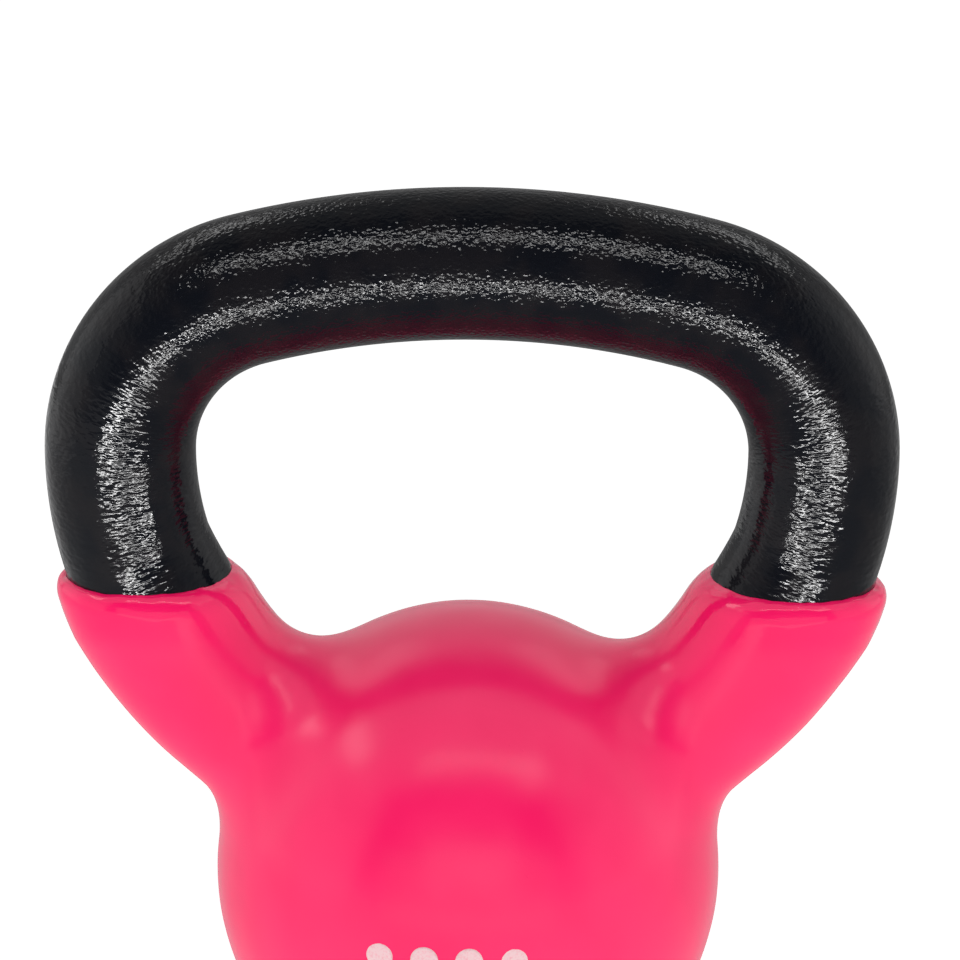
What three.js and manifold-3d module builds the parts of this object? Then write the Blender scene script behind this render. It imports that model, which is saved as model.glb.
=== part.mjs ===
// Eight-kilogram kettlebell: one iron casting (ball, horns and handle in a single pour), a vinyl jacket
// dipped over the ball and the lower horns, and a weight mark of printed ink dots, one dot a kilogram.
// Millimetres, +Z up. The origin is the centre of the flat base, the handle bar runs along X, and the
// weight mark is on the -Y side.

import * as THREE from 'three';
import { LoftGeometry } from 'three/addons/geometries/LoftGeometry.js';
import { mergeVertices } from 'three/addons/utils/BufferGeometryUtils.js';
import Module from 'manifold-3d';

// ---- driving dimensions: casting ----
const BALL_RADIUS = 55.5;        // bare iron ball, seen from above
const BALL_RISE = 59.5;          // the upper half is drawn up a little towards the horns
const BALL_CENTRE = 48;          // height of the ball's widest level
const BASE_SOFTNESS = 4;         // how far the flat base rounds into the ball
const HANDLE_RADIUS = 17.15;     // round grip
const BAR_HEIGHT = 193.2;        // centreline of the bar at its middle
const CROWN = { radius: 200, turn: 14.7 };      // half of the nearly straight bar
const SHOULDER = { radius: 38.9, turn: 75.3 };  // bar to horn
const HORN = { radius: 82, turn: 46.1 };        // horn curving in to the ball
const ROOT_LENGTH = 45;          // straight run of the horn inside the ball
const HORN_SWELL = 1.2;          // the horn is a little fatter below the jacket's lip
const SWELL_RUN = 12;            // length over which it fattens, half of it on each side of the lip
const ROOT_TAPER = 3;            // and thins again inside the ball
const TAPER_POWER = 1.5;         // slowly at first
const VALLEY_BLEND = 14.4;       // soft hollow between the horns, over the ball
const HEEL_BLEND = 4.5;          // tight crease where a horn leaves the ball's side
const BLEND_START = 44.4;        // sideways distance where the blend starts to tighten
const BLEND_SPAN = 23.9;         // and the width over which it does

// ---- driving dimensions: jacket and mark ----
const VINYL = 2.6;               // thickness of the jacket
const LIP_HEIGHT = 119.6;        // level dip line across both horns
const GAP = 0.3;                 // clearance between pieces that touch
const DOT_RADIUS = 3.2;
const DOT_PITCH = 10;
const DOT_ROWS = 2;
const DOTS_IN_ROW = 4;
const MARK_OFFSET = -4.4;        // the mark sits a little to the left of the ball's axis
const MARK_HEIGHT = 43.1;        // level of the mark's middle
const INK = 0.3;

// ---- fineness of the solids ----
const RINGS = 58;
const RING_SIDES = 20;
const BALL_SIDES = 44;
const BALL_LEVELS = 22;
const DOT_SIDES = 14;
const SPINE_STEPS = 900;         // points on the centreline that distances are measured to
const SLOPE_STEP = 0.05;         // distance over which a field's slope is taken
const SETTLE_ROUNDS = 5;         // moves that bring a point onto the casting's skin
const RAY_HALVINGS = 40;         // halvings that find the ball's skin along a ray
const MERGE_DISTANCE = 1e-4;

const wasm = await Module();
wasm.setup();

const clamp = THREE.MathUtils.clamp;
const rad = THREE.MathUtils.degToRad;

// ---- the handle's centreline, in the XZ plane ----

// Adds a clockwise arc to a path that is at `point` and heading `heading`, and returns where it ends.
function addArc(path, point, heading, { radius, turn }) {
  const sweep = rad(turn);
  const centre = new THREE.Vector2(Math.sin(heading), -Math.cos(heading)).multiplyScalar(radius).add(point);
  const from = heading + Math.PI / 2;
  path.absarc(centre.x, centre.y, radius, from, from - sweep, true);
  const end = new THREE.Vector2(Math.cos(from - sweep), Math.sin(from - sweep)).multiplyScalar(radius);
  return { point: end.add(centre), heading: heading - sweep };
}

// One half, from the middle of the bar down into the ball on the +X side.
function halfCentreline() {
  const path = new THREE.Path();
  let at = { point: new THREE.Vector2(0, BAR_HEIGHT), heading: 0 };
  for (const arc of [CROWN, SHOULDER, HORN]) {
    at = addArc(path, at.point, at.heading, arc);
  }
  const run = new THREE.Vector2(Math.cos(at.heading), Math.sin(at.heading)).multiplyScalar(ROOT_LENGTH);
  path.lineTo(at.point.x + run.x, at.point.y + run.y);
  return path;
}

const centreline = halfCentreline();
const halfLength = centreline.getLength();
const spine = centreline.getSpacedPoints(SPINE_STEPS);
const lipStep = spine.findIndex((p, i) => i > SPINE_STEPS / 4 && p.y < LIP_HEIGHT);
const lipLength = (lipStep / SPINE_STEPS) * halfLength;

// Radius of the bare iron at a distance along the half centreline.
function gripRadius(length) {
  const swell = clamp((length - lipLength) / SWELL_RUN + 0.5, 0, 1);
  const depth = clamp((length - lipLength) / (halfLength - lipLength), 0, 1);
  return HANDLE_RADIUS + HORN_SWELL * swell - ROOT_TAPER * Math.pow(depth, TAPER_POWER);
}

// ---- the casting's skin as a distance field: negative inside the iron ----

function softMin(a, b, k) {
  const h = clamp(0.5 + (0.5 * (b - a)) / k, 0, 1);
  return b * (1 - h) + a * h - k * h * (1 - h);
}

function gripField(p) {
  const x = Math.abs(p.x);
  let best = Infinity;
  let step = 0;
  for (let i = 0; i <= SPINE_STEPS; i++) {
    const d = (spine[i].x - x) ** 2 + (spine[i].y - p.z) ** 2;
    if (d < best) {
      best = d;
      step = i;
    }
  }
  return Math.sqrt(best + p.y * p.y) - gripRadius((step / SPINE_STEPS) * halfLength);
}

function ballField(p) {
  const z = p.z - BALL_CENTRE;
  const rise = z > 0 ? BALL_RISE : BALL_RADIUS;
  const across = p.x * p.x + p.y * p.y;
  const k0 = Math.sqrt(across / BALL_RADIUS ** 2 + (z * z) / rise ** 2);
  const k1 = Math.sqrt(across / BALL_RADIUS ** 4 + (z * z) / rise ** 4);
  const round = (k0 * (k0 - 1)) / Math.max(k1, 1e-9);
  return -softMin(-round, p.z - VINYL, BASE_SOFTNESS);
}

function castingField(p) {
  const out = THREE.MathUtils.smoothstep(Math.abs(p.x), BLEND_START, BLEND_START + BLEND_SPAN);
  return softMin(gripField(p), ballField(p), THREE.MathUtils.lerp(VALLEY_BLEND, HEEL_BLEND, out));
}

// Uphill direction of a field, from central differences.
function slope(field, p) {
  const g = new THREE.Vector3();
  for (const axis of ['x', 'y', 'z']) {
    const a = p.clone();
    const b = p.clone();
    a[axis] += SLOPE_STEP;
    b[axis] -= SLOPE_STEP;
    g[axis] = (field(a) - field(b)) / (2 * SLOPE_STEP);
  }
  return g;
}

// ---- solids ----

function toSolid(geometry) {
  const bare = new THREE.BufferGeometry();
  bare.setAttribute('position', geometry.attributes.position);
  bare.setIndex(geometry.index);
  const merged = mergeVertices(bare, MERGE_DISTANCE);
  return new wasm.Manifold(new wasm.Mesh({
    numProp: 3,
    vertProperties: new Float32Array(merged.attributes.position.array),
    triVerts: new Uint32Array(merged.index.array),
  }));
}

function toGeometry(solid) {
  const mesh = solid.getMesh();
  const geometry = new THREE.BufferGeometry();
  geometry.setAttribute('position', new THREE.BufferAttribute(new Float32Array(mesh.vertProperties), 3));
  geometry.setIndex(new THREE.BufferAttribute(new Uint32Array(mesh.triVerts), 1));
  geometry.computeVertexNormals();
  return geometry;
}

// Moves every point of a geometry by a rule.
function reshape(geometry, rule) {
  const position = geometry.attributes.position;
  const p = new THREE.Vector3();
  for (let i = 0; i < position.count; i++) {
    p.fromBufferAttribute(position, i);
    rule(p);
    position.setXYZ(i, p.x, p.y, p.z);
  }
  geometry.computeVertexNormals();
  return geometry;
}

// Round rings along the whole centreline, from one root over the bar to the other.
function gripGeometry(grow) {
  const sections = [];
  for (let i = 0; i <= RINGS; i++) {
    const along = (i / RINGS) * 2 - 1;
    const t = Math.abs(along);
    const side = along < 0 ? -1 : 1;
    const middle = centreline.getPointAt(t);
    const heading = centreline.getTangentAt(t);
    const outward = new THREE.Vector2(-heading.y, heading.x);
    const radius = gripRadius(t * halfLength) + grow;
    const ring = [];
    for (let j = 0; j < RING_SIDES; j++) {
      const turn = (j / RING_SIDES) * 2 * Math.PI;
      const rise = radius * Math.cos(turn);
      ring.push(new THREE.Vector3(
        side * (middle.x + outward.x * rise),
        -radius * Math.sin(turn),
        middle.y + outward.y * rise,
      ));
    }
    sections.push(ring);
  }
  return new LoftGeometry(sections, { capStart: true, capEnd: true });
}

// The ball turned about Z: each profile point is found along a ray from the ball's middle.
function ballGeometry(grow) {
  const middle = new THREE.Vector3(0, 0, BALL_CENTRE);
  const profile = [];
  for (let i = 0; i <= BALL_LEVELS; i++) {
    const angle = -Math.PI / 2 + (i / BALL_LEVELS) * Math.PI;
    const ray = new THREE.Vector3(Math.cos(angle), 0, Math.sin(angle));
    let near = 0;
    let far = 2 * BALL_RADIUS;
    for (let n = 0; n < RAY_HALVINGS; n++) {
      const half = (near + far) / 2;
      if (ballField(middle.clone().addScaledVector(ray, half)) < grow) {
        near = half;
      } else {
        far = half;
      }
    }
    const onAxis = i === 0 || i === BALL_LEVELS;
    profile.push(new THREE.Vector2(onAxis ? 0 : near * ray.x, near * ray.z));
  }
  return new THREE.LatheGeometry(profile, BALL_SIDES).rotateX(Math.PI / 2).translate(0, 0, BALL_CENTRE);
}

// Ball and grip joined, with the crease between them drawn out to the soft blend of the casting.
function skinGeometry(grow) {
  const joined = toSolid(gripGeometry(grow)).add(toSolid(ballGeometry(grow)));
  return reshape(toGeometry(joined), (p) => {
    for (let n = 0; n < SETTLE_ROUNDS; n++) {
      const g = slope(castingField, p);
      p.addScaledVector(g, (grow - castingField(p)) / g.lengthSq());
    }
  });
}

function jacketGeometry(casting) {
  const cavity = reshape(casting.clone(), (p) => p.addScaledVector(slope(castingField, p).normalize(), GAP));
  const tall = 2 * BAR_HEIGHT;
  const above = new THREE.BoxGeometry(tall, tall, tall).translate(0, 0, LIP_HEIGHT + tall / 2);
  return toGeometry(toSolid(skinGeometry(VINYL)).subtract(toSolid(above)).subtract(toSolid(cavity)));
}

// A thin disc of ink bent to the ball, on its own axis; it is turned to its place afterwards.
function dotGeometry() {
  const inner = BALL_RADIUS + VINYL + GAP;
  const reach = Math.asin(DOT_RADIUS / inner);
  const profile = [];
  for (const [radius, turn] of [[inner, 0], [inner, 0.5], [inner, 1], [inner + INK, 1], [inner + INK, 0.5],
    [inner + INK, 0]]) {
    profile.push(new THREE.Vector2(radius * Math.sin(turn * reach), radius * Math.cos(turn * reach)));
  }
  return new THREE.LatheGeometry(profile, DOT_SIDES);
}

// ---- pieces ----

const kettlebell = new THREE.Group();

function addPiece(name, geometry, finish) {
  const mesh = new THREE.Mesh(geometry, new THREE.MeshStandardMaterial(finish));
  mesh.name = name;
  kettlebell.add(mesh);
  return mesh;
}

const castingSkin = skinGeometry(0);
addPiece('iron_casting', castingSkin, { color: 0x17181c, roughness: 0.28, metalness: 0.0 });
addPiece('vinyl_jacket', jacketGeometry(castingSkin), { color: 0xfb4070, roughness: 0.32, metalness: 0.0 });

for (let row = 0; row < DOT_ROWS; row++) {
  for (let column = 0; column < DOTS_IN_ROW; column++) {
    const x = MARK_OFFSET + (column - (DOTS_IN_ROW - 1) / 2) * DOT_PITCH;
    const z = MARK_HEIGHT - BALL_CENTRE + ((DOT_ROWS - 1) / 2 - row) * DOT_PITCH;
    const number = row * DOTS_IN_ROW + column + 1;
    const dot = addPiece(`weight_dot_${number}`, dotGeometry(), { color: 0xe5c2c5, roughness: 0.5, metalness: 0.0 });
    const reach = BALL_RADIUS + VINYL;
    const facing = new THREE.Vector3(x, -Math.sqrt(reach * reach - x * x - z * z), z).normalize();
    dot.quaternion.setFromUnitVectors(new THREE.Vector3(0, 1, 0), facing);
    dot.position.set(0, 0, BALL_CENTRE);
  }
}

export default kettlebell;
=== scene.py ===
# Eight-kilogram kettlebell: black enamelled iron, a jacket of dipped pink vinyl, and a printed mark of dots.
# Metres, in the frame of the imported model: origin at the centre of the flat base, +Z up, the bar along X.

import math

import bmesh
import bpy
from mathutils import Matrix, Vector


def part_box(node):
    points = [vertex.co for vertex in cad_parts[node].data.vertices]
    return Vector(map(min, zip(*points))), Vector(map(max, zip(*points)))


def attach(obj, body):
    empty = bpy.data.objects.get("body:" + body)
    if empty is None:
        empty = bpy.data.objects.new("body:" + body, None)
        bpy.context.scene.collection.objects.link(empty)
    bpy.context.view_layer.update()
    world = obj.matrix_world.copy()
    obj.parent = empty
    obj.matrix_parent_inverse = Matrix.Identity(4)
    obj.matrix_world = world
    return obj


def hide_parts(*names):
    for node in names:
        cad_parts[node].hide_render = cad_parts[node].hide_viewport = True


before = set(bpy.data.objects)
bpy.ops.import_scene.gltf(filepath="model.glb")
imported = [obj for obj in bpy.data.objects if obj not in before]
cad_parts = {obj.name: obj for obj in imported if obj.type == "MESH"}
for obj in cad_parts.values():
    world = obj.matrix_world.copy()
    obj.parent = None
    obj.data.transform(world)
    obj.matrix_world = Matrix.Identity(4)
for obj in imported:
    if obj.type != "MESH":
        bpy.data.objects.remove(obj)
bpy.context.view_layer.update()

MM = 0.001

# ---- sizes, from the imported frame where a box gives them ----
casting_low, casting_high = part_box("iron_casting")
jacket_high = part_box("vinyl_jacket")[1]
GRIP_RADIUS = 17.15 * MM
BALL_RADIUS = casting_high.y
VINYL = jacket_high.y - casting_high.y
BAR_HEIGHT = casting_high.z - GRIP_RADIUS
LIP_HEIGHT = jacket_high.z
BASE_HEIGHT = casting_low.z
BALL_CENTRE = 48 * MM
BALL_RISE = 59.5 * MM
ARCS = [(200 * MM, 14.7), (38.9 * MM, 75.3), (82 * MM, 46.1)]   # radius and turn: crown, shoulder, horn
ROOT_LENGTH = 45 * MM            # straight end of the centreline, inside the ball
LIP_ROUND = 5 * MM               # height over which the jacket thins out to its lip
CLEARANCE = 0.03 * MM            # jacket to iron
BEAD = {1: 1.0 * MM, -1: 0.5 * MM}   # where the dip ran thicker under the lip, on each horn's outside
SWELL_RUN = 12 * MM              # height over which the horn swells, half of it above the lip
TAPER_POWER = 1.5                # how late the root taper sets in
LIP_HANG = 0.7 * MM              # how far the lip hangs outside, below its mean height
LIP_WANDER = 0.16 * MM           # height of its slow wander
WAVER_REACH = 20 * MM            # depth below the lip at which both have died out
ROOT_STEP = 4 * MM               # from the end of the arcs to the first ring above a horn's root
HORN_DROPS = [30 * MM, 24.5 * MM, 19 * MM, 13.5 * MM, 8 * MM, 3.5 * MM]    # jacket rings below the lip
HORN_BEADS = [0.0, 0.0, 0.1, 0.4, 0.8, 1.0]                                # and their share of the bead
LIP_SHARES = [0.0, 0.35, 0.65, 0.88]                                       # rings in the lip's quarter turn
BAR_END, LEG_TOP = 55 * MM, 95 * MM    # distances from the middle of the bar, between which its grain changes

SIZES = {
    "Grip radius": GRIP_RADIUS,
    "Horn swell": 1.2 * MM,
    "Root taper": 3 * MM,
    "Lip height": LIP_HEIGHT,
    "Ball radius": BALL_RADIUS,
    "Ball rise": BALL_RISE,
    "Ball centre": BALL_CENTRE,
    "Base height": BASE_HEIGHT,
    "Base softness": 4 * MM,
    "Valley blend": 14.4 * MM,
    "Heel blend": 4.5 * MM,
    "Blend start": 44.4 * MM,
    "Blend span": 23.9 * MM,
}

RING_SIDES = 16                  # sides of a horn in the coarse cage
LEVELS = 3                       # subdivisions from cage to finished mesh
SPINE_STEPS = 700
PROBE = 0.05 * MM                # step over which the skin's slope is measured
HALVINGS = 40                    # rounds of the search for a height on a leg
DOTS = 8                         # printed dots, one for each kilogram
DOT_SIDES, DOT_RINGS = 48, 6
LAYING_ROUNDS = 5                # rounds that bring a dot's points to their level over the jacket


# ---- node trees as expressions ----

class Wire:
    """A socket that takes part in Python arithmetic; each operation adds its own Math or Vector Math node."""

    def __init__(self, net, socket):
        self.net = net
        self.socket = socket

    def out(self, name):
        return Wire(self.net, self.socket.node.outputs[name])

    def __add__(self, other):
        return self.net.maths("ADD", self, other)

    def __radd__(self, other):
        return self.net.maths("ADD", other, self)

    def __sub__(self, other):
        return self.net.maths("SUBTRACT", self, other)

    def __rsub__(self, other):
        return self.net.maths("SUBTRACT", other, self)

    def __mul__(self, other):
        return self.net.maths("MULTIPLY", self, other)

    def __rmul__(self, other):
        return self.net.maths("MULTIPLY", other, self)

    def __truediv__(self, other):
        return self.net.maths("DIVIDE", self, other)

    def __rtruediv__(self, other):
        return self.net.maths("DIVIDE", other, self)

    def __pow__(self, other):
        return self.net.maths("POWER", self, other)


class Net:
    """Builds one node tree."""

    def __init__(self, tree):
        self.tree = tree

    def node(self, kind, settings=None, inputs=None, out=0):
        """Adds a node: its settings first, then the values or links of its sockets."""
        made = self.tree.nodes.new(kind)
        for name, value in (settings or {}).items():
            setattr(made, name, value)
        for name, value in (inputs or {}).items():
            if isinstance(value, Wire):
                self.tree.links.new(value.socket, made.inputs[name])
            else:
                made.inputs[name].default_value = value
        return Wire(self, made.outputs[out]) if len(made.outputs) else made

    def maths(self, operation, *values):
        vectors = [isinstance(v, Wire) and v.socket.type == "VECTOR" for v in values]
        kind = "ShaderNodeVectorMath" if any(vectors) else "ShaderNodeMath"
        if operation == "MULTIPLY" and any(vectors) and not all(vectors):
            vector, number = values if vectors[0] else reversed(values)
            return self.node(kind, {"operation": "SCALE"}, {"Vector": vector, "Scale": number})
        return self.node(kind, {"operation": operation}, dict(enumerate(values)))

    def limited(self, value):
        """A value held between 0 and 1."""
        return self.node("ShaderNodeClamp", {}, {"Value": value})

    def smooth(self, value, low, high):
        """0 below low, 1 above high, and a smooth step between."""
        return self.node("ShaderNodeMapRange", {"interpolation_type": "SMOOTHSTEP"},
                         {"Value": value, "From Min": low, "From Max": high})

    def vector(self, x, y, z):
        return self.node("ShaderNodeCombineXYZ", {}, {"X": x, "Y": y, "Z": z})

    def parts(self, vector):
        split = self.node("ShaderNodeSeparateXYZ", {}, {"Vector": vector})
        return split, split.out("Y"), split.out("Z")


def new_tree(name, sockets, result="Geometry"):
    """A geometry node tree with named inputs. A socket's default is a number, or None for a geometry."""
    tree = bpy.data.node_groups.new(name, "GeometryNodeTree")
    kinds = {"Geometry": "NodeSocketGeometry", "Spine": "NodeSocketGeometry", "Position": "NodeSocketVector",
             "Material": "NodeSocketMaterial"}
    for label, default in sockets.items():
        kind = kinds.get(label, "NodeSocketFloat")
        socket = tree.interface.new_socket(label, in_out="INPUT", socket_type=kind)
        if default is not None:
            socket.default_value = default
    kind = "NodeSocketGeometry" if result == "Geometry" else "NodeSocketFloat"
    tree.interface.new_socket(result, in_out="OUTPUT", socket_type=kind)
    net = Net(tree)
    inside = net.node("NodeGroupInput")
    given = {label: inside.out(label) for label in sockets}
    return net, given


# ---- the casting's shape ----

def centreline(length):
    """(x, z, heading) at a distance along the half centreline, from the middle of the bar into the ball."""
    x, z, heading = 0.0, BAR_HEIGHT, 0.0
    for radius, turn in ARCS:
        run = min(max(length, 0.0), radius * math.radians(turn))
        after = heading + run / radius
        x += radius * (math.sin(after) - math.sin(heading))
        z -= radius * (math.cos(heading) - math.cos(after))
        heading = after
        length -= run
    straight = max(length, 0.0)
    return x + straight * math.cos(heading), z - straight * math.sin(heading), heading


HALF_LENGTH = sum(radius * math.radians(turn) for radius, turn in ARCS) + ROOT_LENGTH
ABOVE_LEGS = sum(radius * math.radians(turn) for radius, turn in ARCS[:2]) - 20 * MM
ROOT_HEIGHT = centreline(HALF_LENGTH)[1]


def spine_geometry(net):
    """The half centreline as a fine polyline, worked out arc by arc."""
    line = net.node("GeometryNodeMeshLine", {"mode": "OFFSET"}, {"Count": SPINE_STEPS + 1})
    left = net.node("GeometryNodeInputIndex") * (HALF_LENGTH / SPINE_STEPS)
    x, z, heading = 0.0, BAR_HEIGHT, 0.0
    for radius, turn in ARCS:
        sweep = math.radians(turn)
        run = net.maths("MINIMUM", net.maths("MAXIMUM", left, 0.0), radius * sweep)
        after = run / radius + heading
        x = x + (net.maths("SINE", after) - math.sin(heading)) * radius
        z = z - (math.cos(heading) - net.maths("COSINE", after)) * radius
        heading += sweep
        left = left - radius * sweep
    straight = net.maths("MAXIMUM", left, 0.0)
    place = net.vector(x + straight * math.cos(heading), 0.0, z - straight * math.sin(heading))
    return net.node("GeometryNodeSetPosition", {}, {"Geometry": line, "Position": place})


def soft_min(net, a, b, k):
    overlap = net.maths("MAXIMUM", k - net.maths("ABSOLUTE", a - b), 0.0)
    return net.maths("MINIMUM", a, b) - overlap * overlap / (k * 4.0)


def distance_tree():
    """Distance from a point to the casting's skin, negative inside the iron."""
    net, given = new_tree("casting_distance", {"Spine": None, "Position": None, **SIZES}, "Distance")
    x, y, z = net.parts(given["Position"])
    aside = net.maths("ABSOLUTE", x)
    folded = net.vector(aside, y, z)

    near = net.node("GeometryNodeProximity", {"target_element": "EDGES"},
                    {"Geometry": given["Spine"], "Sample Position": folded}, "Distance")
    level = net.parts(near.out("Position"))[2]
    swell = net.limited((given["Lip height"] + SWELL_RUN / 2 - level) / SWELL_RUN)
    depth = net.limited((given["Lip height"] - level) / (given["Lip height"] - ROOT_HEIGHT))
    grip = near - given["Grip radius"] - given["Horn swell"] * swell
    grip = grip + given["Root taper"] * depth ** TAPER_POWER

    up = z - given["Ball centre"]
    above = net.maths("GREATER_THAN", up, 0.0)
    rise = given["Ball radius"] + (given["Ball rise"] - given["Ball radius"]) * above
    across = (x * x + y * y) / given["Ball radius"] ** 2.0
    upright = up * up / rise ** 2.0
    k0 = net.maths("SQRT", across + upright)
    k1 = net.maths("SQRT", across / given["Ball radius"] ** 2.0 + upright / rise ** 2.0)
    round_part = k0 * (k0 - 1.0) / k1
    ball = soft_min(net, round_part * -1.0, z - given["Base height"], given["Base softness"]) * -1.0

    out = net.smooth(aside, given["Blend start"], given["Blend start"] + given["Blend span"])
    blend = given["Valley blend"] + (given["Heel blend"] - given["Valley blend"]) * out
    net.node("NodeGroupOutput", {}, {"Distance": soft_min(net, grip, ball, blend)})
    return net.tree


def skin_tree(distance):
    """Subdivides a cage and lays every point of it on the casting's skin, or on the jacket over it.

    The cage's "thinning" is 0 where the jacket is full thickness, and 1 at its lip and on its inside."""
    sizes = {**SIZES, "Thickness": 0.0, "Clearance": 0.0, "Waviness": 0.0, "Wave size": 10 * MM,
             "Lip raggedness": 0.0, "Lip tear": 4 * MM}
    net, given = new_tree("cast_and_dipped_skin", {"Geometry": None, "Material": None, **sizes})
    spine = spine_geometry(net)

    def measured(position):
        inputs = {"Spine": spine, "Position": position, **{label: given[label] for label in SIZES}}
        return net.node("GeometryNodeGroup", {"node_tree": distance}, inputs)

    def attribute(name, kind="FLOAT"):
        return net.node("GeometryNodeInputNamedAttribute", {"data_type": kind}, {"Name": name}, "Attribute")

    thinning = attribute("thinning")
    cover = net.maths("COSINE", thinning * (math.pi / 2))
    full = given["Thickness"] + attribute("bead") - given["Clearance"]
    level = given["Clearance"] + full * cover

    def settled(geometry):
        """Moves every point to its own level over the skin, or nearer to it."""
        here = net.node("GeometryNodeInputPosition")
        middle = measured(here)
        slopes = []
        for axis in ((PROBE, 0, 0), (0, PROBE, 0), (0, 0, PROBE)):
            slopes.append((measured(net.maths("ADD", here, axis)) - middle) / PROBE)
        uphill = net.vector(*slopes)
        aim = net.vector(slopes[0], slopes[1], slopes[2] * (1.0 - attribute("levelled")))
        steepness = net.maths("DOT_PRODUCT", uphill, aim).out("Value")
        move = aim * ((level - middle) / steepness)
        return net.node("GeometryNodeSetPosition", {}, {"Geometry": geometry, "Offset": move})

    def evened(geometry, rounds):
        """Slides the points near the horn roots to even spacing."""
        place = net.node("GeometryNodeInputPosition")
        free = (1.0 - attribute("pinned")) * 0.6
        blurred = net.node("GeometryNodeBlurAttribute", {"data_type": "FLOAT_VECTOR"},
                           {"Value": place, "Iterations": rounds, "Weight": free})
        return net.node("GeometryNodeSetPosition", {}, {"Geometry": geometry, "Position": blurred})

    edge = net.maths("GREATER_THAN", attribute("lip"), 0.99)
    fine = net.node("GeometryNodeSubdivisionSurface", {}, {"Mesh": given["Geometry"], "Level": LEVELS,
                                                          "Edge Crease": edge})
    for rounds in (8, 6, 4):
        fine = evened(settled(settled(fine)), rounds)
    fine = settled(settled(settled(fine)))

    wave = net.node("ShaderNodeTexNoise", {"noise_dimensions": "3D"},
                    {"Vector": net.node("GeometryNodeInputPosition"), "Scale": 1.0 / given["Wave size"],
                     "Detail": 1.0})
    lift = net.node("GeometryNodeInputNormal") * ((wave - 0.5) * given["Waviness"] * cover)
    fine = net.node("GeometryNodeSetPosition", {}, {"Geometry": fine, "Offset": lift})
    ragged = net.node("ShaderNodeTexNoise", {"noise_dimensions": "3D"},
                      {"Vector": net.node("GeometryNodeInputPosition"), "Scale": 1.0 / given["Lip tear"],
                       "Detail": 2.0})
    tear = (ragged - 0.5) * given["Lip raggedness"] * attribute("rim") * thinning
    fine = net.node("GeometryNodeSetPosition", {}, {"Geometry": fine, "Offset": net.vector(0.0, 0.0, tear)})
    smooth = net.node("GeometryNodeSetShadeSmooth", {}, {"Geometry": fine})
    real = net.node("GeometryNodeRealizeInstances", {}, {"Geometry": smooth})
    done = net.node("GeometryNodeSetMaterial", {}, {"Geometry": real, "Material": given["Material"]})
    net.node("NodeGroupOutput", {}, {"Geometry": done})
    return net.tree


# ---- coarse cages ----

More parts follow.
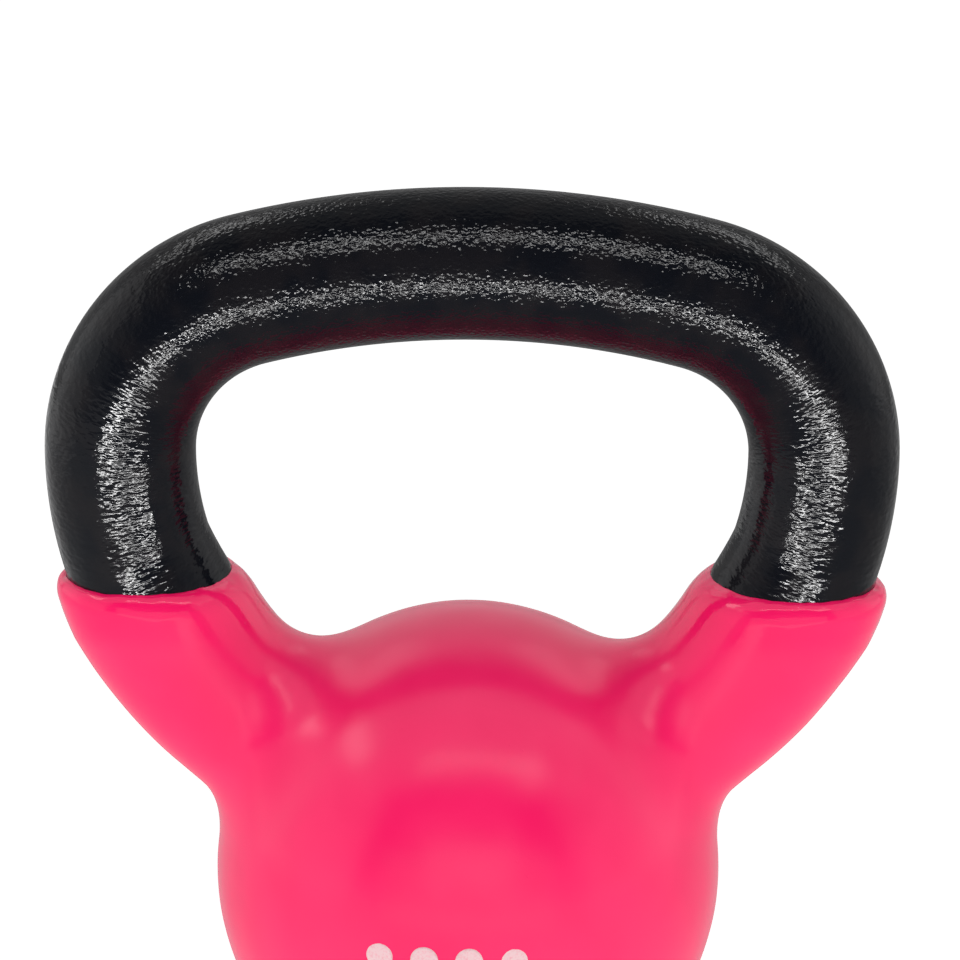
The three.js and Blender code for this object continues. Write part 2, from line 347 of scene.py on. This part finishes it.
class Cage:
    """A coarse closed quad mesh: a ball of cube-sphere faces with a horn of rings out of each upper side."""

    GRID = 8                     # faces along a side of the cube
    HOLE = (2, 6)                # grid lines that bound a horn's root on its side of the cube

    def __init__(self):
        self.points = []
        self.faces = []
        self.rows = {"thinning": [], "lip": [], "pinned": [], "levelled": [], "rim": [], "bead": []}
        self.grips = []

    def point(self, place, grip=(0.0, 0.0, 0.0), **facts):
        self.points.append(Vector(place))
        for name, values in self.rows.items():
            values.append(facts.get(name, 0.0))
        self.grips.append(grip)
        return len(self.points) - 1

    def ball(self, radius, thinning, inward=False):
        """Adds the ball without its two horn roots, and returns each root's edge, by side of the casting.

        The cube is turned so that two of its sides face the horns."""
        turn = Matrix.Rotation(math.radians(-45), 3, "Y")
        found = {}
        edges = {1: [], -1: []}
        low, high = self.HOLE

        def corner(side, i, j):
            across, along, out = side
            spread = [math.tan((2 * n / self.GRID - 1) * math.pi / 4) for n in (i, j)]
            place = turn @ (across * spread[0] + along * spread[1] + out).normalized() * radius
            key = tuple(round(c / (0.01 * MM)) for c in place)
            if key not in found:
                found[key] = self.point(place + Vector((0, 0, BALL_CENTRE)), thinning=thinning)
            return found[key]

        x, y, z = Vector((1, 0, 0)), Vector((0, 1, 0)), Vector((0, 0, 1))
        for side, horn in (((y, z, x), 1), ((x, y, z), -1), ((z, y, -x), 0), ((y, x, -z), 0), ((z, x, y), 0),
                           ((x, z, -y), 0)):
            for i in range(self.GRID):
                for j in range(self.GRID):
                    if horn and low <= i < high and low <= j < high:
                        continue
                    loop = [corner(side, i, j), corner(side, i + 1, j), corner(side, i + 1, j + 1),
                            corner(side, i, j + 1)]
                    self.faces.append(loop[::-1] if inward else loop)
            if horn:
                walk = [(n, low) for n in range(low, high)] + [(high, n) for n in range(low, high)]
                walk += [(n, high) for n in range(high, low, -1)] + [(low, n) for n in range(high, low, -1)]
                edges[horn] = [corner(side, i, j) for i, j in walk]
        return edges

    def ring(self, length, side, radius, **facts):
        """Adds a round ring on the centreline, and returns its points."""
        x, z, heading = centreline(length)
        outward = Vector((math.sin(heading), 0, math.cos(heading)))
        made = []
        for n in range(RING_SIDES):
            turn = 2 * math.pi * n / RING_SIDES
            out, across = radius * math.cos(turn), radius * math.sin(turn)
            place = Vector((x, across, z)) + outward * out
            grip = (side * length, out, across)
            made.append(self.point((side * place.x, place.y, place.z), grip=grip, **facts))
        return made

    def lip_ring(self, drop, side, radius, **facts):
        """Adds a ring at a drop below the jacket's wavering edge, and returns its points."""
        made = []
        for n in range(RING_SIDES):
            turn = 2 * math.pi * n / RING_SIDES
            out, across = radius * math.cos(turn), radius * math.sin(turn)
            height = LIP_HEIGHT - drop + lip_waver(turn, side) * max(0.0, 1 - drop / WAVER_REACH)
            near, far = ABOVE_LEGS, HALF_LENGTH
            for _ in range(HALVINGS):
                length = (near + far) / 2
                x, z, heading = centreline(length)
                if z + math.cos(heading) * out > height:
                    near = length
                else:
                    far = length
            place = (side * (x + math.sin(heading) * out), across, height)
            grip = (side * length, out, across)
            run = BEAD[side] * max(0.0, math.cos(turn))
            own = {**facts, "bead": run * facts.get("bead", 0.0)}
            made.append(self.point(place, grip=grip, **own))
        return made

    def join(self, first, second, flip):
        """Fills the band between two loops of the same count."""
        count = len(first)
        for n in range(count):
            loop = [first[n], first[(n + 1) % count], second[(n + 1) % count], second[n]]
            self.faces.append(loop[::-1] if flip else loop)

    def matched(self, edge, ring):
        """The root edge turned, and reversed if need be, so that its points face the ring's."""
        best = None
        for loop in (edge, edge[::-1]):
            for shift in range(len(edge)):
                turned = loop[shift:] + loop[:shift]
                far = sum((self.points[a] - self.points[b]).length for a, b in zip(turned, ring))
                if best is None or far < best[0]:
                    best = (far, turned)
        return best[1]

    def mesh(self, name):
        data = bpy.data.meshes.new(name)
        data.from_pydata(self.points, [], self.faces)
        for label, values in self.rows.items():
            data.attributes.new(label, "FLOAT", "POINT").data.foreach_set("value", values)
        flat = [c for grip in self.grips for c in grip]
        data.attributes.new("grip", "FLOAT_VECTOR", "POINT").data.foreach_set("vector", flat)
        work = bmesh.new()
        work.from_mesh(data)
        bmesh.ops.recalc_face_normals(work, faces=work.faces)
        work.to_mesh(data)
        work.free()
        return data


def root_lengths(stop, spacing):
    """Distances along the centreline of the rings between a horn's root and a stop nearer the bar."""
    start = HALF_LENGTH - ROOT_LENGTH - ROOT_STEP
    count = max(2, round((start - stop) / spacing))
    return [start + (stop - start) * n / count for n in range(count + 1)]


def casting_cage():
    cage = Cage()
    edges = cage.ball(BALL_RADIUS, 1.0)
    rings = {}
    spacing = 5.5 * MM
    free_rings = 5               # rings at a root that the evening may still slide
    for side in (1, -1):
        lengths = root_lengths(spacing / 2, spacing)
        rings[side] = [cage.ring(s, side, GRIP_RADIUS, thinning=1.0, pinned=min(1.0, n / free_rings))
                       for n, s in enumerate(lengths)]
        loops = [cage.matched(edges[side], rings[side][0])] + rings[side]
        for first, second in zip(loops, loops[1:]):
            cage.join(first, second, side > 0)
    cage.join(rings[1][-1], rings[-1][-1], True)
    return cage.mesh("casting_cage")


def lip_waver(turn, side):
    """Height of the dipped edge against its mean, round a horn: it hangs lower outside, and wanders."""
    wander = sum(math.sin(order * turn + side * order * 1.7) / order for order in (2, 3, 5))
    return -LIP_HANG * math.cos(turn) + LIP_WANDER * wander


def jacket_cage():
    """The jacket's outside, its rounded lips, and its inside against the iron, as one closed shell."""
    cage = Cage()
    outer = cage.ball(BALL_RADIUS + VINYL, 0.0)
    inner = cage.ball(BALL_RADIUS + CLEARANCE, 1.0, inward=True)
    count = len(HORN_BEADS)
    free_rings = 4               # rings at a root that the evening may still slide
    drops = [LIP_ROUND + drop for drop in HORN_DROPS]
    at_lip = {"pinned": 1.0, "levelled": 1.0, "rim": 1.0}

    def on_horn(n):
        return {"pinned": min(1.0, n / free_rings), "levelled": n / count}

    for side in (1, -1):
        lip = cage.lip_ring(0.0, side, GRIP_RADIUS + CLEARANCE, thinning=1.0, lip=1.0, **at_lip)
        outside = []
        for n, (drop, bead) in enumerate(zip(drops, HORN_BEADS)):
            top = float(n == count - 1)
            outside.append(cage.lip_ring(drop, side, GRIP_RADIUS + VINYL, rim=top, bead=bead, **on_horn(n)))
        for share in LIP_SHARES:
            drop = LIP_ROUND * (1 - math.sin(share * math.pi / 2))
            radius = GRIP_RADIUS + VINYL * math.cos(share * math.pi / 2)
            outside.append(cage.lip_ring(drop, side, radius, thinning=share, bead=1.0, **at_lip))
        inside = [cage.lip_ring(drop, side, GRIP_RADIUS, thinning=1.0, **on_horn(n))
                  for n, drop in enumerate(drops + [LIP_ROUND])]
        for edge, rings, flip in ((outer[side], outside, False), (inner[side], inside, True)):
            loops = [cage.matched(edge, rings[0])] + rings + [lip]
            for first, second in zip(loops, loops[1:]):
                cage.join(first, second, flip)
    return cage.mesh("jacket_cage")


def grown(name, cage, tree, material, values):
    """Runs a geometry node tree on a cage, and returns the result as a plain mesh object."""
    carrier = bpy.data.objects.new(name, cage)
    bpy.context.scene.collection.objects.link(carrier)
    modifier = carrier.modifiers.new("shape", "NODES")
    modifier.node_group = tree
    for item in tree.interface.items_tree:
        if item.in_out == "INPUT" and item.name in values:
            modifier[item.identifier] = values[item.name]
        elif item.in_out == "INPUT" and item.name == "Material":
            modifier[item.identifier] = material
    bpy.context.view_layer.update()
    shape = carrier.evaluated_get(bpy.context.evaluated_depsgraph_get())
    plain = bpy.data.meshes.new_from_object(shape)
    plain.name = name
    carrier.modifiers.remove(modifier)
    carrier.data = plain
    return carrier


# ---- the printed mark ----

def dot_tree(distance):
    """A disc of ink laid on the jacket's front, thinning out at its edge."""
    sizes = {"Radius": 3.2 * MM, "Ink": 0.1 * MM, "Sunk": 0.02 * MM, "Cover": VINYL, "Across": 0.0,
             "Height": 50 * MM}
    net, given = new_tree("printed_dot", {"Material": None, **sizes, **SIZES})
    spine = spine_geometry(net)
    disc = net.node("GeometryNodeMeshCylinder", {"fill_type": "NGON"},
                    {"Vertices": DOT_SIDES, "Side Segments": 1, "Fill Segments": DOT_RINGS,
                     "Radius": given["Radius"], "Depth": 1 * MM}, "Mesh")
    here = net.node("GeometryNodeInputPosition")
    x, y, z = net.parts(here)
    from_middle = net.maths("SQRT", x * x + y * y) / given["Radius"]
    top = net.maths("GREATER_THAN", z, 0.0)
    dome = net.maths("SQRT", 1.0 - net.limited(from_middle) ** 8.0 * 0.96)
    level = given["Cover"] - given["Sunk"] + top * (given["Sunk"] + given["Ink"] * dome)
    stored = net.node("GeometryNodeStoreNamedAttribute", {"data_type": "FLOAT", "domain": "POINT"},
                      {"Geometry": disc, "Name": "level", "Value": level})
    front = -1.0 * (given["Ball radius"] + given["Cover"])
    face_on = net.vector(x + given["Across"], front, y + given["Height"])
    laid = net.node("GeometryNodeSetPosition", {}, {"Geometry": stored, "Position": face_on})
    for _ in range(LAYING_ROUNDS):
        here = net.node("GeometryNodeInputPosition")
        far = []
        for place in (here, net.maths("ADD", here, (0, PROBE, 0))):
            inputs = {"Spine": spine, "Position": place, **{label: given[label] for label in SIZES}}
            far.append(net.node("GeometryNodeGroup", {"node_tree": distance}, inputs))
        wanted = net.node("GeometryNodeInputNamedAttribute", {"data_type": "FLOAT"}, {"Name": "level"},
                          "Attribute")
        slide = net.vector(0.0, (wanted - far[0]) * PROBE / (far[1] - far[0]), 0.0)
        laid = net.node("GeometryNodeSetPosition", {}, {"Geometry": laid, "Offset": slide})
    smooth = net.node("GeometryNodeSetShadeSmooth", {}, {"Geometry": laid})
    real = net.node("GeometryNodeRealizeInstances", {}, {"Geometry": smooth})
    done = net.node("GeometryNodeSetMaterial", {}, {"Geometry": real, "Material": given["Material"]})
    net.node("NodeGroupOutput", {}, {"Geometry": done})
    return net.tree


# ---- finishes ----

def new_finish(name):
    material = bpy.data.materials.new(name)
    material.use_nodes = True
    material.node_tree.nodes.clear()
    return material, Net(material.node_tree)


def set_finish(net, **sockets):
    inputs = {label.replace("_", " "): value for label, value in sockets.items()}
    shader = net.node("ShaderNodeBsdfPrincipled", {}, inputs)
    net.node("ShaderNodeOutputMaterial", {}, {"Surface": shader})


def grain(net, place, detail=2.0, **settings):
    """Noise from 0 to 1 on a place that is already divided by the grain size."""
    return net.node("ShaderNodeTexNoise", {"noise_dimensions": "3D", **settings},
                    {"Vector": place, "Scale": 1.0, "Detail": detail})


def blended(net, mask, first, second):
    """A colour that goes from the first to the second as the mask goes from 0 to 1."""
    return net.node("ShaderNodeMix", {"data_type": "RGBA"}, {0: mask, 6: first, 7: second}, 2)


def black_enamel():
    """Thin stoved enamel over a sand-cast skin: pitted all over, and drawn out round the tube on the legs."""
    material, net = new_finish("black_enamel")
    place = net.node("ShaderNodeAttribute", {"attribute_name": "grip"}, out="Vector")
    along, up, across = net.parts(place)
    leg = net.smooth(net.maths("ABSOLUTE", along), BAR_END, LEG_TOP)

    def skin(length, girth, detail):
        return grain(net, net.vector(along / length, up / girth, across / girth), detail)

    bar_pits = skin(1.05 * MM, 0.95 * MM, 1.0)
    leg_pits = skin(0.95 * MM, 2.1 * MM, 1.0)
    swells = skin(3.4 * MM, 3.8 * MM, 1.0)
    pits = bar_pits + (leg_pits - bar_pits) * leg
    pit_depth = 0.225 * MM - leg * (0.055 * MM)
    height = pits * pit_depth + swells * (0.13 * MM)
    bumped = net.node("ShaderNodeBump", {}, {"Strength": 1.0, "Distance": 1.0, "Height": height})
    patch = net.smooth(skin(9 * MM, 9 * MM, 2.0), 0.35, 0.65)
    colour = blended(net, patch, (0.0024, 0.0028, 0.0042, 1.0), (0.0045, 0.0042, 0.0052, 1.0))
    set_finish(net, Base_Color=colour, Roughness=0.085 + patch * 0.06, Specular_IOR_Level=0.2, Normal=bumped)
    return material


def pink_vinyl():
    """Half-gloss dipped vinyl: a faint peel, a few pinholes, and colour that drifts as its depth does."""
    material, net = new_finish("pink_vinyl")
    place = net.node("ShaderNodeTexCoord", out="Object")

    def clouds(size, detail):
        return grain(net, place * (1 / size), detail)

    depth = net.smooth(clouds(24 * MM, 2.0), 0.3, 0.7)
    colour = blended(net, depth, (0.93, 0.008, 0.120, 1.0), (0.97, 0.015, 0.134, 1.0))
    cells = net.node("ShaderNodeTexVoronoi", {"feature": "F1"},
                     {"Vector": place * (1 / (2.3 * MM)), "Scale": 1.0}, "Distance")
    chosen = net.maths("GREATER_THAN", cells.out("Color"), 0.62)
    holes = (1.0 - net.smooth(cells, 0.05, 0.14)) * chosen
    peel = clouds(1.3 * MM, 1.0)
    fine = clouds(0.4 * MM, 1.0)
    height = peel * (0.016 * MM) + fine * (0.002 * MM) - holes * (0.02 * MM)
    bumped = net.node("ShaderNodeBump", {}, {"Strength": 1.0, "Distance": 1.0, "Height": height})
    rim = net.node("ShaderNodeAttribute", {"attribute_name": "rim"}, out="Fac")
    rough = 0.18 + clouds(11 * MM, 2.0) * 0.1
    set_finish(net, Base_Color=colour, Roughness=rough + (0.09 - rough) * rim, Normal=bumped)
    return material


def pale_ink():
    """Matte printed ink, a little thin in places so that the pink shows through."""
    material, net = new_finish("pale_ink")
    place = net.node("ShaderNodeTexCoord", out="Object")
    thin = net.smooth(grain(net, place * (1 / (0.5 * MM))), 0.45, 0.75)
    colour = blended(net, thin, (0.80, 0.55, 0.57, 1.0), (0.80, 0.40, 0.45, 1.0))
    weave = grain(net, place * (1 / (0.25 * MM))) * (0.01 * MM)
    bumped = net.node("ShaderNodeBump", {}, {"Strength": 1.0, "Distance": 1.0, "Height": weave})
    set_finish(net, Base_Color=colour, Roughness=0.5 + thin * 0.1, Normal=bumped)
    return material


# ---- the kettlebell ----

distance = distance_tree()
skin = skin_tree(distance)
enamel, vinyl, ink = black_enamel(), pink_vinyl(), pale_ink()

casting = grown("cast_body_and_handle", casting_cage(), skin, enamel,
                {"Thickness": 0.0, "Clearance": 0.0, "Waviness": 0.16 * MM, "Wave size": 5 * MM})
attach(casting, "root")
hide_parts("iron_casting")

jacket = grown("dipped_jacket", jacket_cage(), skin, vinyl,
               {"Thickness": VINYL, "Clearance": CLEARANCE, "Waviness": 0.25 * MM, "Wave size": 16 * MM,
                "Lip raggedness": 1.0 * MM})
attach(jacket, "root")
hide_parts("vinyl_jacket")

dots = dot_tree(distance)
printed = []
for number in range(1, DOTS + 1):
    node = f"weight_dot_{number}"
    low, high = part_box(node)
    middle = (low + high) / 2
    dot = grown(f"ink_dot_{number}", bpy.data.meshes.new("empty"), dots, ink,
                {"Radius": (high.x - low.x) / 2, "Across": middle.x, "Height": middle.z})
    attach(dot, "root")
    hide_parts(node)
    printed.append(dot)


# ---- studio ----

def softbox(name, place, aim, width, height, radiance, only=None, in_reflections=True):
    """A rectangular area light of a given radiance, aimed at a point, that the camera doesn't see."""
    data = bpy.data.lights.new(name, "AREA")
    data.shape = "RECTANGLE"
    data.size = width
    data.size_y = height
    data.energy = radiance * math.pi * width * height
    light = bpy.data.objects.new(name, data)
    light.location = place
    light.rotation_euler = (Vector(aim) - Vector(place)).to_track_quat("-Z", "Y").to_euler()
    light.visible_camera = False
    light.visible_glossy = in_reflections
    bpy.context.scene.collection.objects.link(light)
    if only:
        lit = bpy.data.collections.new(name + "_lights")
        for piece in only:
            lit.objects.link(piece)
        light.light_linking.receiver_collection = lit
    return light


HANDLE = Vector((0, 0, 0.19))    # what the lights are aimed at
BODY = Vector((0, 0, 0.1))


def from_handle(distance_off, elevation, azimuth=0.0):
    """A point seen from the handle at an elevation and an azimuth in degrees, from the front."""
    up, side = math.radians(elevation), math.radians(azimuth)
    heading = Vector((math.sin(side) * math.cos(up), -math.cos(side) * math.cos(up), math.sin(up)))
    return HANDLE + heading * distance_off


# The enamel's lights: long strips that draw the two sparkling bands, and dim cards for the legs' flanks.
softbox("key_softbox", from_handle(1.2, 57), HANDLE, 1.35, 0.10, 20.0, only=[casting])
for name, x, width, radiance in (
    ("low_strip_middle", 0.0, 0.18, 46.0),
    ("low_strip_left", -0.22, 0.26, 88.0),
    ("low_strip_right", 0.22, 0.26, 84.0),
):
    beside = Vector((x, 0, 0))
    softbox(name, from_handle(0.5, -19.0) + beside, HANDLE + beside, width, 0.024, radiance, only=[casting])
for name, side, wall, ground in (("left", -1, 0.38, 0.4), ("right", 1, 0.14, 0.14)):
    softbox(name + "_wall_card", from_handle(1.2, 10, 100 * side), HANDLE, 1.2, 1.2, wall, only=[casting])
    lying = Vector((0.95 * side, -0.1, 0.002))
    softbox(name + "_floor_card", lying, lying + Vector((0, 0, 1)), 1.5, 1.8, ground, only=[casting])

# The lights of the vinyl and the ink: one thin strip for the lips, two small soft boxes, and broad panels.
coloured = [jacket] + printed
softbox("vinyl_key", from_handle(1.2, 57), HANDLE, 1.0, 0.03, 7.0, only=coloured)
softbox("left_soft", from_handle(1.2, 40, -87), HANDLE, 0.40, 0.25, 2.0, only=coloured)
softbox("right_soft", from_handle(1.2, 46, 45), HANDLE, 0.30, 0.25, 1.6, only=coloured)
softbox("top_panel", (0, -0.25, 1.3), BODY, 3.0, 1.3, 0.62, only=coloured)
softbox("back_panel", (0, 1.4, 0.9), BODY, 3.2, 1.8, 0.36, only=coloured)
softbox("left_panel", (-1.6, 0, 0.6), BODY, 2.6, 1.4, 0.3, only=coloured)
softbox("right_panel", (1.6, 0, 0.6), BODY, 2.6, 1.4, 0.3, only=coloured)
softbox("low_front_panel", (0, -1.6, 0.25), BODY, 2.6, 0.9, 0.52, only=coloured)
softbox("floor_glow", (0, 0, 0.001), (0, 0, 1), 4.0, 4.0, 0.3, only=coloured)

# Lights behind for the back of the bell, and fill for everything.
for name, azimuth in (("rear_left", -140), ("rear_right", 140)):
    softbox(name + "_key", from_handle(1.2, 42, azimuth), HANDLE, 0.7, 0.14, 4.0, only=[casting])
    softbox(name + "_soft", from_handle(1.2, 42, azimuth), HANDLE, 0.6, 0.3, 0.5, only=coloured)
softbox("front_fill", (0, -2.2, 0.75), BODY, 1.8, 1.0, 2.15, in_reflections=False)
softbox("room_fill", (0, 0, 3.0), BODY, 4.0, 4.0, 0.4, in_reflections=False)


def studio_surround():
    """Grey in reflections, lighter behind, aside and below; white where the camera looks past the floor."""
    world = bpy.data.worlds.new("studio_surround")
    world.use_nodes = True
    world.node_tree.nodes.clear()
    net = Net(world.node_tree)
    x, y, z = net.parts(net.node("ShaderNodeTexCoord", out="Generated"))
    behind = net.smooth(y, -0.15, 0.25)
    below = net.smooth(z * -1.0, -0.02, 0.12)
    aside = net.smooth(net.maths("ABSOLUTE", x), 0.55, 0.95)
    dark, rear, flanks, ground = 0.03, 0.28, 0.38, 0.25
    grey = dark + behind * rear + aside * flanks
    grey = grey + (ground - grey) * below
    around = net.node("ShaderNodeBackground", {}, {"Color": net.vector(grey, grey, grey), "Strength": 1.0})
    white = net.node("ShaderNodeBackground", {}, {"Color": (1.0, 1.0, 1.0, 1.0), "Strength": 1.0})
    seen = net.node("ShaderNodeLightPath", out="Is Camera Ray")
    surface = net.node("ShaderNodeMixShader", {}, {0: seen, 1: around, 2: white})
    net.node("ShaderNodeOutputWorld", {}, {"Surface": surface})
    bpy.context.scene.world = world


def studio_floor():
    """White paper that glows a little, so that it stays white; reflections don't show it."""
    half = 4.0
    corners = [(-half, -half, 0), (half, -half, 0), (half, half, 0), (-half, half, 0)]
    data = bpy.data.meshes.new("studio_floor")
    data.from_pydata(corners, [], [(0, 1, 2, 3)])
    floor = bpy.data.objects.new("studio_floor", data)
    bpy.context.scene.collection.objects.link(floor)
    material, net = new_finish("floor_paper")
    pale = (0.9, 0.9, 0.9, 1.0)
    set_finish(net, Base_Color=pale, Roughness=0.9, Emission_Color=pale, Emission_Strength=0.8)
    data.materials.append(material)
    floor.visible_glossy = False


def studio_camera():
    """A long lens from the front, a little above the handle and very slightly rolled."""
    distance_off, elevation, roll = 1.3, math.radians(18), math.radians(0.6)
    looked_at = Vector((1.84 * MM, 0, 142.1 * MM))
    right = Vector((1, 0, 0))
    back = Vector((0, -math.cos(elevation), math.sin(elevation)))
    up = back.cross(right)
    across = right * math.cos(roll) + up * math.sin(roll)
    upright = up * math.cos(roll) - right * math.sin(roll)
    data = bpy.data.cameras.new("studio_camera")
    data.lens = 214.6
    data.sensor_width = 36
    data.clip_end = 50
    camera = bpy.data.objects.new("studio_camera", data)
    turned = Matrix((across, upright, back)).transposed().to_4x4()
    camera.matrix_world = Matrix.Translation(looked_at + back * distance_off) @ turned
    bpy.context.scene.collection.objects.link(camera)
    bpy.context.scene.camera = camera


studio_surround()
studio_floor()
studio_camera()
bpy.context.scene.view_settings.view_transform = "Standard"
